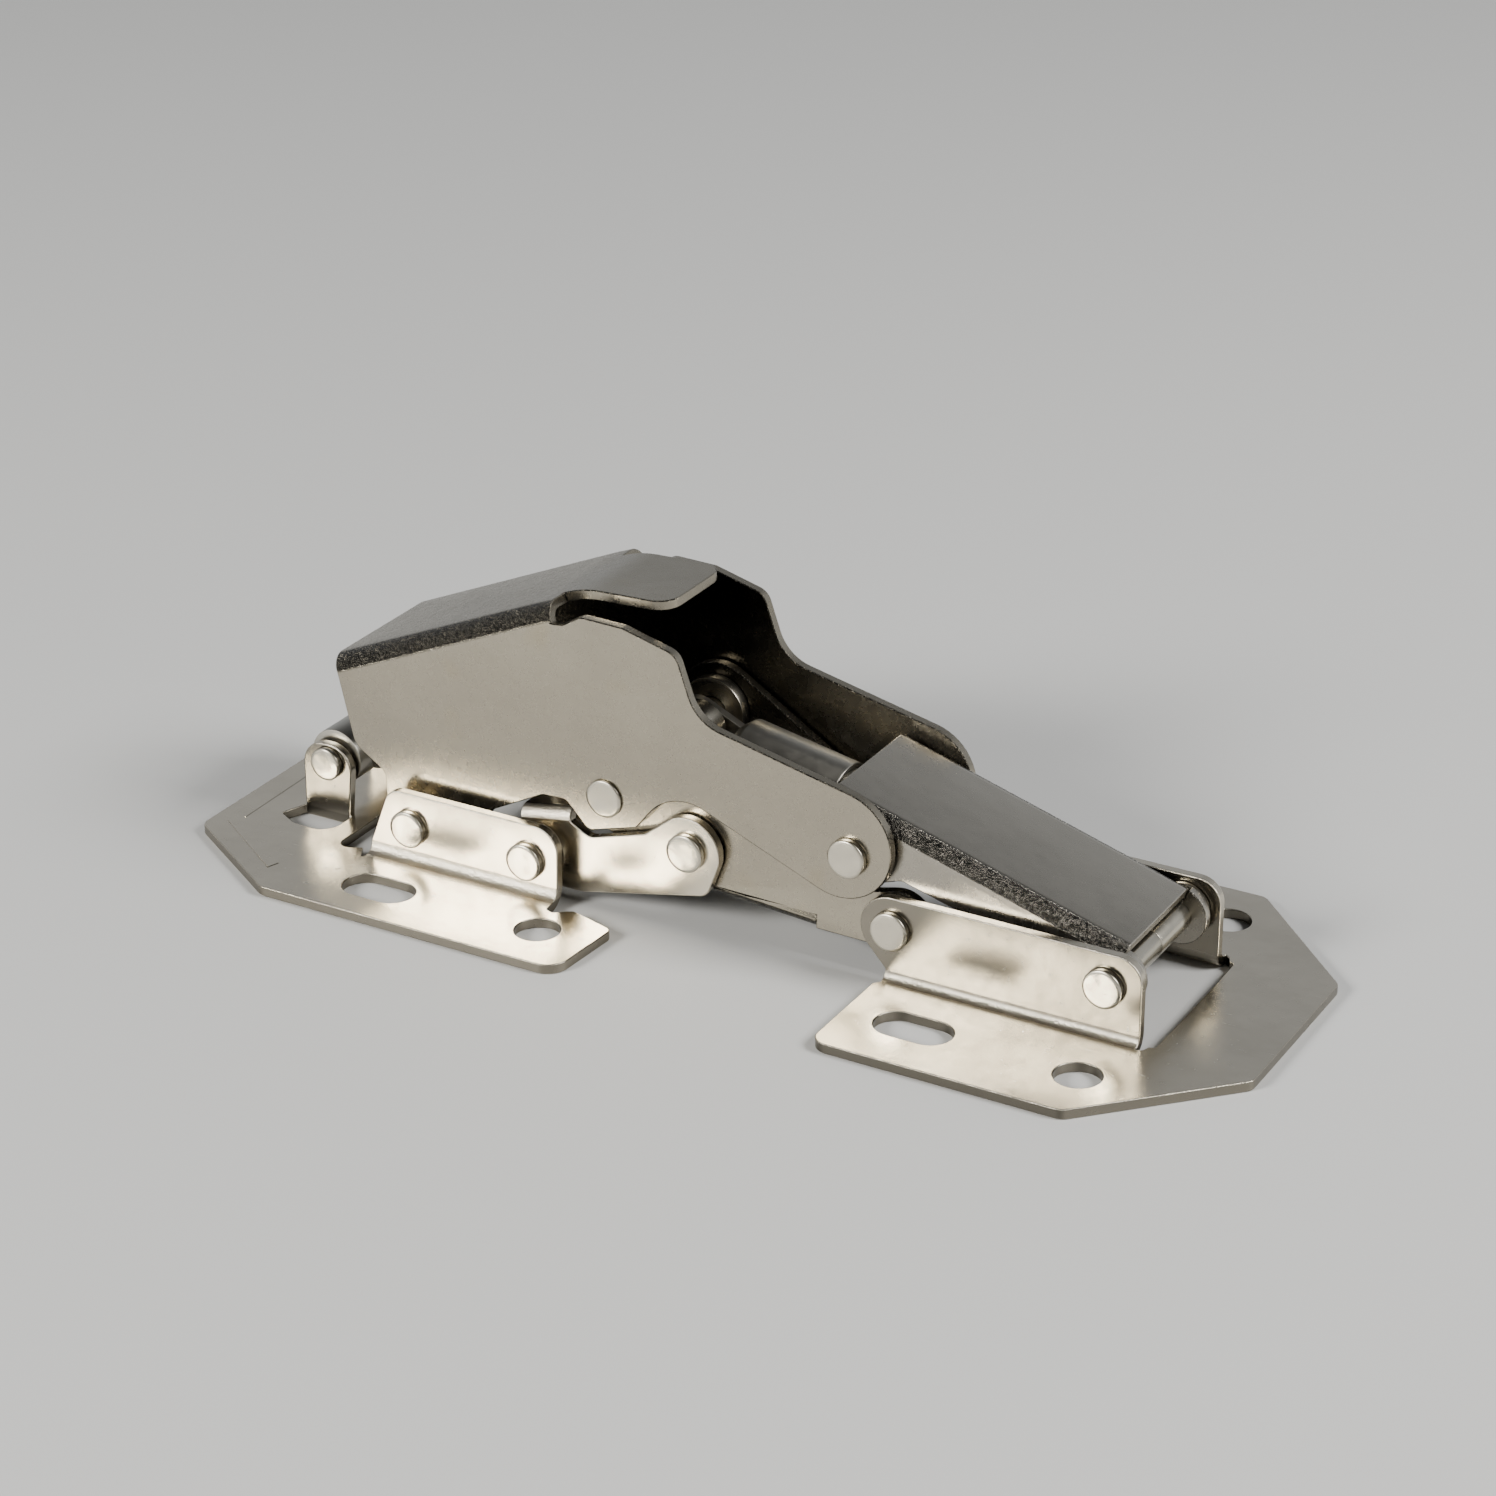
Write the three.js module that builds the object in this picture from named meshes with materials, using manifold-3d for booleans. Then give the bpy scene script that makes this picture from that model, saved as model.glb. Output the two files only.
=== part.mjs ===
// Surface-mounted concealed hinge: two notched plates joined by a folding linkage of bent sheet steel.
// Units are millimetres. X runs from the left plate to the right plate, Y across the width, Z up.
// The origin is the middle of the footprint, on the plane both plates lie on.
import * as THREE from "three";
import { mergeVertices } from "three/addons/utils/BufferGeometryUtils.js";
import Module from "manifold-3d";

const wasm = await Module();
wasm.setup();

// ---- driving dimensions ----
const SHEET = 1.0; // thickness of every pressed part
const PLATE_HALF_LENGTH = 54.95; // the open hinge is 109.9 long
const PLATE_HALF_WIDTH = 22.5;
const TIP_HALF_WIDTH = { left: 13.9, right: 10.2 };
const SHOULDER_X = { left: -41.9, right: 42.3 }; // where the tapered tips begin
const LEG_END_X = { left: -7.8, right: 18.0 };
const NOTCH_X = { left: -40.6, right: 45.2 }; // closed end of the opening between the legs
const NOTCH_HALF_WIDTH = { left: 10.6, right: 8.8 };
const SCREW_HOLE_R = 2.2;
const SCREW_SLOT_LENGTH = 7.6;
const SCREWS = {
  left: { hole: [-14.0, 16.9], slot: [-31.7, 17.3] },
  right: { hole: [41.3, 16.4], slot: [25.1, 16.1] },
};

// Pivots in the XZ plane, hinge lying open.
const DAMPER_PIVOT = [-45.3, 6.4];
const ARM_PIVOT = [-32.3, 4.5];
const LINK_PIVOT = [-19.0, 4.3];
const CROSS_PIVOT = [-11.5, 11.7];
const ELBOW_PIVOT = [-2.6, 8.3];
const TOP_PIVOT = [14.4, 12.0];
const PLATE_PIVOT = [19.1, 6.0];
const END_PIVOT = [40.25, 5.9];
const CENTRE_PIN = [-7.8, 16.0]; // carries the inner ends of the damper and the spring cartridge
const SPRING_PIN = [22.0, 10.2]; // carries the outer end of the spring cartridge

// Outer face of the top link's web.
const TOP_LINE = [
  [11.9, 17.7],
  [41.3, 8.95],
];

// Outer half-widths of the nested layers, from the outside in.
const LEFT_EAR_Y = 10.9;
const RIGHT_EAR_Y = 9.1;
const ARM_Y = 8.6;
const INNER_Y = 7.35;
const DAMPER_EAR_Y = 6.0;
const LUG_Y = 4.6;

const SHAFT_R = 1.5;
const SPRING_SHAFT_R = 0.8;
const SHAFT_FIT = 0.05; // running clearance of a shaft in its hole
const HEAD_R = 1.9;
const DAMPER_HEAD_R = 1.7;
const HEAD_H = 0.75;
const LOW_HEAD_H = 0.35; // the cross rivets are set nearly flush
const HEAD_GAP = 0.05;
const WASHER_R = 2.7;
const CENTRE_SPACER_R = 3.4;
const ARC_STEP = Math.PI / 14;

// ---- geometry helpers ----
function solid(geometry) {
  const bare = geometry.clone();
  bare.deleteAttribute("normal");
  bare.deleteAttribute("uv");
  const merged = mergeVertices(bare, 1e-5);
  return new wasm.Manifold(
    new wasm.Mesh({
      numProp: 3,
      vertProperties: merged.attributes.position.array,
      triVerts: merged.index.array,
    }),
  );
}

// Closed outline around circles [x, z, r] taken counter-clockwise. A negative radius is a concave
// fillet whose centre lies outside the outline; a zero radius is a sharp corner.
function outline(circles) {
  const count = circles.length;
  const normals = circles.map(([ax, az, ar], i) => {
    const [bx, bz, br] = circles[(i + 1) % count];
    const length = Math.hypot(bx - ax, bz - az);
    return Math.atan2(bz - az, bx - ax) - Math.acos((ar - br) / length);
  });
  const points = [];
  circles.forEach(([x, z, r], i) => {
    const from = normals[(i + count - 1) % count];
    if (r === 0) {
      points.push(new THREE.Vector2(x, z));
      return;
    }
    let sweep = (normals[i] - from) % (2 * Math.PI);
    if (r > 0 && sweep < 0) sweep += 2 * Math.PI;
    if (r < 0 && sweep > 0) sweep -= 2 * Math.PI;
    const steps = Math.max(1, Math.ceil(Math.abs(sweep) / ARC_STEP));
    for (let k = 0; k <= steps; k++) {
      const angle = from + (sweep * k) / steps;
      points.push(new THREE.Vector2(x + r * Math.cos(angle), z + r * Math.sin(angle)));
    }
  });
  return points;
}

// An XZ outline given thickness along Y.
function slabY(points, y0, y1) {
  const geometry = new THREE.ExtrudeGeometry(new THREE.Shape(points), {
    depth: y1 - y0,
    bevelEnabled: false,
  });
  geometry.rotateX(Math.PI / 2).translate(0, y1, 0);
  return solid(geometry);
}

// An XY outline given thickness along Z.
function slabZ(points, z0, z1) {
  const geometry = new THREE.ExtrudeGeometry(new THREE.Shape(points), {
    depth: z1 - z0,
    bevelEnabled: false,
  });
  geometry.translate(0, 0, z0);
  return solid(geometry);
}

function box(x0, x1, y0, y1, z0, z1) {
  const geometry = new THREE.BoxGeometry(x1 - x0, y1 - y0, z1 - z0);
  geometry.translate((x0 + x1) / 2, (y0 + y1) / 2, (z0 + z1) / 2);
  return solid(geometry);
}

// A round bar along Y between y0 and y1.
function barY([x, z], radius, y0, y1, segments = 28) {
  const geometry = new THREE.CylinderGeometry(radius, radius, y1 - y0, segments);
  geometry.translate(x, (y0 + y1) / 2, z);
  return solid(geometry);
}

// A turned profile [radius, distance] whose axis starts at a point and points at another, both in XZ.
function turnedAlong([ax, az], [bx, bz], profile, segments = 28) {
  const geometry = new THREE.LatheGeometry(
    profile.map(([radius, along]) => new THREE.Vector2(radius, along)),
    segments,
  );
  const tilt = Math.atan2(bx - ax, bz - az);
  geometry.rotateX(Math.PI / 2).rotateY(tilt).translate(ax, 0, az);
  return solid(geometry);
}

const mirrored = (part) => part.mirror([0, 1, 0]);
const bothSides = (part) => part.add(mirrored(part));
const along = ([ax, az], [bx, bz], distance) => {
  const length = Math.hypot(bx - ax, bz - az);
  return [ax + ((bx - ax) * distance) / length, az + ((bz - az) * distance) / length];
};
const spacing = ([ax, az], [bx, bz]) => Math.hypot(bx - ax, bz - az);

// Bent web of a channel: a sheet that follows a line of outer points in XZ and turns down
// into both walls with a rounded bend. lift is +1 for a web on top, -1 for one underneath.
function web(line, halfWidth, bend, lift) {
  const slices = 6;
  const innerBend = bend - SHEET;
  const layer = (drop, half, depth) => {
    const low = line.map(([x, z]) => new THREE.Vector2(x, z - lift * depth));
    const high = line.map(([x, z]) => new THREE.Vector2(x, z - lift * drop));
    const ring = lift > 0 ? [...low, ...high.reverse()] : [...high, ...low.reverse()];
    return slabY(ring, -half, half);
  };
  let outer = layer(bend, halfWidth, bend + 0.4);
  let inner = layer(bend, halfWidth - SHEET, bend + 3);
  for (let k = 1; k <= slices; k++) {
    const turn = (Math.PI / 2) * (k / slices);
    const rise = 1 - Math.sin(turn);
    const tuck = 1 - Math.cos(turn);
    outer = outer.add(layer(bend * rise, halfWidth - bend * tuck, bend + 0.4));
    const hollow = layer(SHEET + innerBend * rise, halfWidth - SHEET - innerBend * tuck, bend + 3);
    inner = inner.add(hollow);
  }
  return outer.subtract(inner);
}

// The two equal walls of a channel, or a pair of ears, from one outline.
const walls = (points, outerY) => bothSides(slabY(points, outerY - SHEET, outerY));
const bores = (part, centres, radius = SHAFT_R) =>
  centres.reduce((left, centre) => left.subtract(barY(centre, radius + SHAFT_FIT, -20, 20)), part);

// ---- plates ----
function slotOutline([x, y], radius, length) {
  const half = length / 2 - radius;
  return outline([
    [x - half, y, radius],
    [x + half, y, radius],
  ]);
}

function screwCuts({ hole, slot }) {
  const round = slabZ(slotOutline(hole, SCREW_HOLE_R, 2 * SCREW_HOLE_R + 0.01), -1, 3);
  const long = slabZ(slotOutline(slot, SCREW_HOLE_R, SCREW_SLOT_LENGTH), -1, 3);
  return bothSides(round.add(long));
}

function leftPlate() {
  const x0 = -PLATE_HALF_LENGTH;
  const x1 = LEG_END_X.left;
  const inner = NOTCH_HALF_WIDTH.left;
  const relief = 1.2;
  const legInner = -13.0;
  const upper = outline([
    [x0, 0, 0],
    [NOTCH_X.left, 0, 0],
    [NOTCH_X.left + 1, inner - 1, -1],
    [legInner, inner, 0],
    [x1, inner + relief + 0.3, 0.4],
    [x1 - 1.2, PLATE_HALF_WIDTH - 1.2, 1.2],
    [SHOULDER_X.left, PLATE_HALF_WIDTH - 1.2, 1.2],
    [x0 + 1, TIP_HALF_WIDTH.left - 1, 1],
  ]);
  const window = outline([
    [-49.4, 5.2, 0],
    [-43.0, 5.2, 0],
    [-44.7, 8.3, 1.7],
    [-47.3, 8.3, 1.9],
  ]);
  const sheet = bothSides(slabZ(upper, 0, SHEET)).subtract(bothSides(slabZ(window, -1, 2)));
  const ear = outline([
    [-37.2, 0, 0],
    [-15.6, 0, 0],
    [-17.4, 6.2, 1.9],
    [-33.6, 6.2, 1.9],
  ]);
  const smallEar = outline([
    [-48.4, 0, 0],
    [-43.4, 0, 0],
    [DAMPER_PIVOT[0], DAMPER_PIVOT[1] - 0.4, 2.5],
    [DAMPER_PIVOT[0] - 0.3, DAMPER_PIVOT[1] - 0.4, 2.5],
  ]);
  let plate = sheet.subtract(screwCuts(SCREWS.left));
  plate = plate.add(walls(ear, LEFT_EAR_Y));
  plate = plate.add(walls(smallEar, DAMPER_EAR_Y));
  return bores(plate, [DAMPER_PIVOT, ARM_PIVOT, LINK_PIVOT]);
}

function rightPlate() {
  const x0 = LEG_END_X.right;
  const x1 = PLATE_HALF_LENGTH;
  const inner = NOTCH_HALF_WIDTH.right;
  const upper = outline([
    [NOTCH_X.right, 0, 0],
    [x1, 0, 0],
    [x1 - 1, TIP_HALF_WIDTH.right - 1, 1],
    [SHOULDER_X.right, PLATE_HALF_WIDTH - 1.2, 1.2],
    [x0 + 1, PLATE_HALF_WIDTH - 1, 1],
    [x0, inner, 0],
    [NOTCH_X.right - 0.9, inner - 0.9, -0.9],
  ]);
  const ear = outline([
    [18.4, 0, 0],
    [43.9, 0, 0],
    [43.9 - 1.9, 7.3, 1.9],
    [PLATE_PIVOT[0], PLATE_PIVOT[1], 3.2],
  ]);
  let plate = bothSides(slabZ(upper, 0, SHEET)).subtract(screwCuts(SCREWS.right));
  plate = plate.add(walls(ear, RIGHT_EAR_Y));
  return bores(plate, [PLATE_PIVOT, END_PIVOT]);
}

// ---- arms and links ----
function coverArm() {
  const bend = 1.8;
  const hoodLine = [
    [-42.4, 19.4],
    [-18.4, 29.8],
    [-15.4, 30.9],
    [-8.6, 31.2],
  ];
  const side = outline([
    [...ARM_PIVOT, 4.2],
    [-24.2, 7.4, 0],
    [-18.2, 9.4, -1],
    [-16.3, 9.5, -1],
    [-13.1, 9.0, 1],
    [-8.6, 10.1, 0.8],
    [...ELBOW_PIVOT, -5],
    [13.3, 13, 5.4],
    [1.9, 25.6, -4.4],
    [-4.6, 26.9, 1.4],
    [-9.6, 28.3, 1],
    [-16.2, 27.8, 1.4],
    [-18.2, 28.1, 0],
    [-42, 17.8, 0],
    [-37.9, 12, 2.2],
    [-37.5, 7.9, -1],
  ]);
  const hood = web(hoodLine, ARM_Y, bend, 1);
  const reliefSlots = bothSides(box(-17.6, -3, 6.0, 9, 28.0, 33));
  const body = walls(side, ARM_Y).add(hood.subtract(reliefSlots));
  return bores(body, [ARM_PIVOT, CROSS_PIVOT, TOP_PIVOT]);
}

function innerArm() {
  const bend = 1.6;
  const side = outline([
    [...CROSS_PIVOT, 3.8],
    [...ELBOW_PIVOT, 4.5],
    [10.3, 3.0, 0],
    [...PLATE_PIVOT, 3.05],
    [...TOP_PIVOT, -3.9],
    [...CENTRE_PIN, 4.5],
  ]);
  const floor = web(
    [
      [-1.4, 3.6],
      [10.3, 2.9],
    ],
    INNER_Y,
    bend,
    -1,
  );
  const body = walls(side, INNER_Y).add(floor);
  return bores(body, [CROSS_PIVOT, CENTRE_PIN]);
}

// Two lugs lanced down from the web of the top link; they hold the spring pin.
function springLugs() {
  const [x, z] = SPRING_PIN;
  const slope = (TOP_LINE[1][1] - TOP_LINE[0][1]) / (TOP_LINE[1][0] - TOP_LINE[0][0]);
  const midWeb = (at) => TOP_LINE[0][1] + slope * (at - TOP_LINE[0][0]) - SHEET / 2;
  const [x0, x1] = [x - 2.2, x + 2.8];
  const lug = outline([
    [x, z, 1.7],
    [x1, midWeb(x1), 0],
    [x0, midWeb(x0), 0],
  ]);
  return walls(lug, LUG_Y);
}

function topLink() {
  const bend = 1.6;
  const side = outline([
    [...TOP_PIVOT, 3.3],
    [19.2, 8.6, -1.5],
    [25.1, 8.5, 0],
    [...END_PIVOT, 2.95],
    [41.2, 7.4, 0],
    [12.1, 16.0, 0],
  ]);
  const body = walls(side, INNER_Y).add(web(TOP_LINE, INNER_Y, bend, 1));
  const hinged = bores(body, [TOP_PIVOT, END_PIVOT]);
  return bores(hinged.add(springLugs()), [SPRING_PIN], SPRING_SHAFT_R);
}

function shortLink() {
  const bend = 1.6;
  const side = outline([
    [...LINK_PIVOT, 3.2],
    [-14.4, 2.0, 0.9],
    [ELBOW_PIVOT[0] + 1.0, 5.3, 1.4],
    [...ELBOW_PIVOT, 3.4],
    [-7.9, 10.2, -1.4],
    [-13.2, 6.2, -1],
    [-15.9, 8.4, 0.9],
    [-20.4, 7.2, 0.9],
  ]);
  const bridge = web(
    [
      [-21.2, 8.5],
      [-15.6, 9.5],
    ],
    ARM_Y,
    bend,
    1,
  );
  const body = walls(side, ARM_Y).add(bridge);
  return bores(body, [LINK_PIVOT, ELBOW_PIVOT]);
}

// ---- pins, rivets and washers ----
// A pin right across the hinge with a formed head at each end.
function headedPin(centre, faceY, headR = HEAD_R) {
  const shaft = barY(centre, SHAFT_R, -(faceY + 0.5), faceY + 0.5);
  const head = barY(centre, headR, faceY + HEAD_GAP, faceY + HEAD_H, 36);
  return shaft.add(bothSides(head));
}

// A short rivet on one side: side is -1 for the near wall and +1 for the far one.
function rivet(centre, faceY, innerEndY, side, headH = HEAD_H) {
  const shaft = barY(centre, SHAFT_R, innerEndY, faceY + headH / 2);
  const head = barY(centre, HEAD_R, faceY + HEAD_GAP, faceY + headH, 36);
  const made = shaft.add(head);
  return side > 0 ? made : mirrored(made);
}

function plainPin(centre, radius, halfLength) {
  return barY(centre, radius, -halfLength, halfLength);
}

function washer(centre, y0, y1, side, radius = WASHER_R) {
  const ring = barY(centre, radius, y0, y1, 32).subtract(
    barY(centre, SHAFT_R + SHAFT_FIT, y0 - 1, y1 + 1),
  );
  return side > 0 ? ring : mirrored(ring);
}

// ---- damper, from the left plate up under the cover arm ----
const DAMPER_LENGTH = spacing(DAMPER_PIVOT, CENTRE_PIN);
const DAMPER_TUBE_R = 2.9;
const DAMPER_TUBE_END = 22.0;
const DAMPER_ROD_R = 1.3;
const DAMPER_SLOT_HALF = 1.0; // half the travel of the centre pin in the rod's slot
const DAMPER_TANG_R = 2.6;

function damperTube() {
  const bore = DAMPER_TUBE_R - 0.6;
  const profile = [
    [0, 1.2],
    [DAMPER_TUBE_R - 0.5, 1.2],
    [DAMPER_TUBE_R, 1.8],
    [DAMPER_TUBE_R, DAMPER_TUBE_END],
    [bore, DAMPER_TUBE_END],
    [bore, 5.5],
    [0, 5.5],
  ];
  const tube = turnedAlong(DAMPER_PIVOT, CENTRE_PIN, profile);
  const eye = barY(DAMPER_PIVOT, DAMPER_TUBE_R, -4.6, 4.6);
  return bores(tube.add(eye), [DAMPER_PIVOT]);
}

function damperGland() {
  const start = DAMPER_TUBE_END + 0.05;
  const profile = [
    [DAMPER_ROD_R + 0.05, start],
    [DAMPER_TUBE_R, start],
    [DAMPER_TUBE_R, start + 1.2],
    [DAMPER_TUBE_R - 0.4, start + 1.6],
    [DAMPER_ROD_R + 0.05, start + 1.6],
    [DAMPER_ROD_R + 0.05, start],
  ];
  return turnedAlong(DAMPER_PIVOT, CENTRE_PIN, profile);
}

function damperPiston() {
  const profile = [
    [0, 17.0],
    [DAMPER_TUBE_R - 0.7, 17.0],
    [DAMPER_TUBE_R - 0.7, 20.0],
    [0, 20.0],
  ];
  return turnedAlong(DAMPER_PIVOT, CENTRE_PIN, profile);
}

// The rod ends in a flat tang with a slot, so the centre pin has some lost motion along the rod.
function damperRod() {
  const tangStart = DAMPER_LENGTH - DAMPER_SLOT_HALF;
  const tangEnd = DAMPER_LENGTH + DAMPER_SLOT_HALF;
  const profile = [
    [0, 20.05],
    [DAMPER_ROD_R, 20.05],
    [DAMPER_ROD_R, tangStart - 1.9],
    [0, tangStart - 1.9],
  ];
  const slotted = (radius) =>
    outline([
      [...along(DAMPER_PIVOT, CENTRE_PIN, tangStart), radius],
      [...along(DAMPER_PIVOT, CENTRE_PIN, tangEnd), radius],
    ]);
  const rod = turnedAlong(DAMPER_PIVOT, CENTRE_PIN, profile, 20);
  const tang = slabY(slotted(DAMPER_TANG_R), -1.6, 1.6);
  return rod.add(tang).subtract(slabY(slotted(SHAFT_R + 0.15), -3, 3));
}

// ---- spring cartridge, between the walls of the arms ----
const CARTRIDGE_LENGTH = spacing(CENTRE_PIN, SPRING_PIN);
const OUTER_SLEEVE_R = 3.9;
const INNER_SLEEVE_R = 3.35;
const SLEEVE_WALL = 0.5;
const OUTER_SLEEVE_START = 5.7;
const OUTER_SLEEVE_END = 17.4;
const SPRING_SEAT = 6.3;
const INNER_SLEEVE_START = 16.3;
const SPRING_EYE_R = 2.4;

function springOuterSleeve() {
  const bore = INNER_SLEEVE_R + 0.05;
  const profile = [
    [0, OUTER_SLEEVE_START],
    [OUTER_SLEEVE_R - 0.9, OUTER_SLEEVE_START],
    [OUTER_SLEEVE_R, OUTER_SLEEVE_START + 0.9],
    [OUTER_SLEEVE_R, OUTER_SLEEVE_END],
    [bore, OUTER_SLEEVE_END],
    [bore, SPRING_SEAT],
    [0, SPRING_SEAT],
  ];
  const sleeve = turnedAlong(CENTRE_PIN, SPRING_PIN, profile, 36);
  const cheek = outline([
    [...CENTRE_PIN, 2.6],
    [...along(CENTRE_PIN, SPRING_PIN, SPRING_SEAT - 1.7), 1.5],
  ]);
  return bores(sleeve.add(bothSides(slabY(cheek, 2.0, 2.9))), [CENTRE_PIN]);
}

// The eye at the far end is open round the spring pin, which is where this loop is opened.
function springInnerSleeve() {
  const bore = INNER_SLEEVE_R - SLEEVE_WALL;
  const capStart = CARTRIDGE_LENGTH - 5.0;
  const capEnd = CARTRIDGE_LENGTH - 3.5;
  const profile = [
    [bore, INNER_SLEEVE_START],
    [INNER_SLEEVE_R, INNER_SLEEVE_START],
    [INNER_SLEEVE_R, capEnd - 0.6],
    [INNER_SLEEVE_R - 0.6, capEnd],
    [0, capEnd],
    [0, capStart],
    [bore, capStart],
    [bore, INNER_SLEEVE_START],
  ];
  const sleeve = turnedAlong(CENTRE_PIN, SPRING_PIN, profile, 36);
  const eye = outline([
    [...along(CENTRE_PIN, SPRING_PIN, capEnd - 0.4), 1.6],
    [...SPRING_PIN, SPRING_EYE_R],
  ]);
  return bores(sleeve.add(slabY(eye, -1.6, 1.6)), [SPRING_PIN], SPRING_SHAFT_R + 0.9);
}

// Coil whose centre line winds round the cartridge axis.
class Coil extends THREE.Curve {
  constructor(start, end, radius, turns) {
    super();
    this.start = new THREE.Vector3(start[0], 0, start[1]);
    this.end = new THREE.Vector3(end[0], 0, end[1]);
    this.radius = radius;
    this.turns = turns;
    this.side = new THREE.Vector3(0, 1, 0);
    this.up = this.end.clone().sub(this.start).normalize().cross(this.side);
  }
  getPoint(t, target = new THREE.Vector3()) {
    const angle = 2 * Math.PI * this.turns * t;
    return target
      .copy(this.start)
      .lerp(this.end, t)
      .addScaledVector(this.side, this.radius * Math.cos(angle))
      .addScaledVector(this.up, this.radius * Math.sin(angle));
  }
}

function cartridgeSpring() {
  const wire = 0.4;
  const section = new THREE.Shape();
  section.absarc(0, 0, wire, 0, 2 * Math.PI, false);
  const start = along(CENTRE_PIN, SPRING_PIN, SPRING_SEAT + 0.7);
  const end = along(CENTRE_PIN, SPRING_PIN, CARTRIDGE_LENGTH - 5.8);
  const geometry = new THREE.ExtrudeGeometry(section, {
    steps: 200,
    curveSegments: 4,
    bevelEnabled: false,
    extrudePath: new Coil(start, end, 2.3, 9),
  });
  return solid(geometry);
}

// ---- the assembly ----
const group = new THREE.Group();

function place(name, part, look) {
  const mesh = part.getMesh();
  const geometry = new THREE.BufferGeometry();
  geometry.setAttribute("position", new THREE.BufferAttribute(mesh.vertProperties, 3));
  geometry.setIndex(new THREE.BufferAttribute(mesh.triVerts, 1));
  geometry.computeVertexNormals();
  const made = new THREE.Mesh(geometry, new THREE.MeshStandardMaterial(look));
  made.name = name;
  group.add(made);
}

const nickel = { color: 0xb9b2a6, roughness: 0.3, metalness: 1 };
const brightSteel = { color: 0xc9c4ba, roughness: 0.25, metalness: 1 };
const springSteel = { color: 0x8e8b86, roughness: 0.35, metalness: 1 };
const satinTube = { color: 0xaaa69e, roughness: 0.4, metalness: 1 };

place("left_plate", leftPlate(), nickel);
place("right_plate", rightPlate(), nickel);
place("cover_arm", coverArm(), nickel);
place("inner_arm", innerArm(), nickel);
place("top_link", topLink(), nickel);
place("short_link", shortLink(), nickel);

place("damper_pin", headedPin(DAMPER_PIVOT, DAMPER_EAR_Y, DAMPER_HEAD_R), brightSteel);
place("arm_pin", headedPin(ARM_PIVOT, LEFT_EAR_Y), brightSteel);
place("link_pin", headedPin(LINK_PIVOT, LEFT_EAR_Y), brightSteel);
place("end_pin", headedPin(END_PIVOT, RIGHT_EAR_Y), brightSteel);
place("centre_pin", plainPin(CENTRE_PIN, SHAFT_R, INNER_Y), brightSteel);
place("spring_pin", plainPin(SPRING_PIN, SPRING_SHAFT_R, LUG_Y), brightSteel);

for (const [suffix, side] of [
  ["near", -1],
  ["far", 1],
]) {
  const armInner = ARM_Y - SHEET;
  const wallInner = INNER_Y - SHEET;
  place(`elbow_rivet_${suffix}`, rivet(ELBOW_PIVOT, ARM_Y, armInner, side), brightSteel);
  const rivetEnd = wallInner - 0.2;
  place(
    `cross_rivet_${suffix}`,
    rivet(CROSS_PIVOT, ARM_Y, rivetEnd, side, LOW_HEAD_H),
    brightSteel,
  );
  place(`top_rivet_${suffix}`, rivet(TOP_PIVOT, ARM_Y, rivetEnd, side), brightSteel);
  place(
    `plate_rivet_${suffix}`,
    rivet(PLATE_PIVOT, RIGHT_EAR_Y, RIGHT_EAR_Y - SHEET, side),
    brightSteel,
  );
  const leftGap = [ARM_Y + 0.1, LEFT_EAR_Y - SHEET - 0.1];
  const rightGap = [INNER_Y + 0.1, RIGHT_EAR_Y - SHEET - 0.1];
  place(`arm_washer_${suffix}`, washer(ARM_PIVOT, ...leftGap, side), brightSteel);
  place(`link_washer_${suffix}`, washer(LINK_PIVOT, ...leftGap, side), brightSteel);
  place(`end_washer_${suffix}`, washer(END_PIVOT, ...rightGap, side), brightSteel);
  const spacer = washer(CENTRE_PIN, wallInner - 1.3, wallInner - 0.1, side, CENTRE_SPACER_R);
  place(`centre_spacer_${suffix}`, spacer, brightSteel);
}

place("damper_tube", damperTube(), satinTube);
place("damper_gland", damperGland(), brightSteel);
place("damper_piston", damperPiston(), brightSteel);
place("damper_rod", damperRod(), brightSteel);
place("spring_outer_sleeve", springOuterSleeve(), satinTube);
place("spring_inner_sleeve", springInnerSleeve(), satinTube);
place("cartridge_spring", cartridgeSpring(), springSteel);

export default group;
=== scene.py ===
# Surface-mounted concealed hinge, nickel-plated: two notched plates and a riveted folding linkage.
# Lengths are written in millimetres and become metres when a mesh is made.
import math
import random

import bmesh
import bpy
from mathutils import Matrix, Vector, noise
from mathutils.geometry import delaunay_2d_cdt


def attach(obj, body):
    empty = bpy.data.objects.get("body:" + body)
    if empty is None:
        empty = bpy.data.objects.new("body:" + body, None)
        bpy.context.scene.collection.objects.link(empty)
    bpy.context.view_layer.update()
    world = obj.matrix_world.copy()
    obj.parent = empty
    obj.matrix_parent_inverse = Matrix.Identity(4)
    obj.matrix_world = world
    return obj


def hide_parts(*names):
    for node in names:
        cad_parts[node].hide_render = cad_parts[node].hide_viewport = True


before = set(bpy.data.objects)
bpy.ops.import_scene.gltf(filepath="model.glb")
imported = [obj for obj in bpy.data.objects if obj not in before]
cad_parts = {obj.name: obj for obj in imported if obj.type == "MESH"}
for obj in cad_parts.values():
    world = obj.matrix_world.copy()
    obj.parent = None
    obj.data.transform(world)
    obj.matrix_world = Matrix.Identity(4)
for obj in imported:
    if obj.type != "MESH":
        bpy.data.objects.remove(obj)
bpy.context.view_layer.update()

MM = 0.001
SHEET = 1.0  # thickness of every pressed part
ARC_STEP = math.radians(7)
EDGE_BEVEL = 0.13
SHARP_ANGLE = math.radians(40)
TURNED_SHARP = math.radians(38)
BEND_STEPS = 10

HALF_LENGTH = 54.95
HALF_WIDTH = 22.5
SCREW_R = 2.2
SLOT_LENGTH = 7.6
LEFT_SCREWS = {"hole": (-14.0, 16.9), "slot": (-31.7, 17.3)}
RIGHT_SCREWS = {"hole": (41.3, 16.4), "slot": (25.1, 16.1)}

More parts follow.
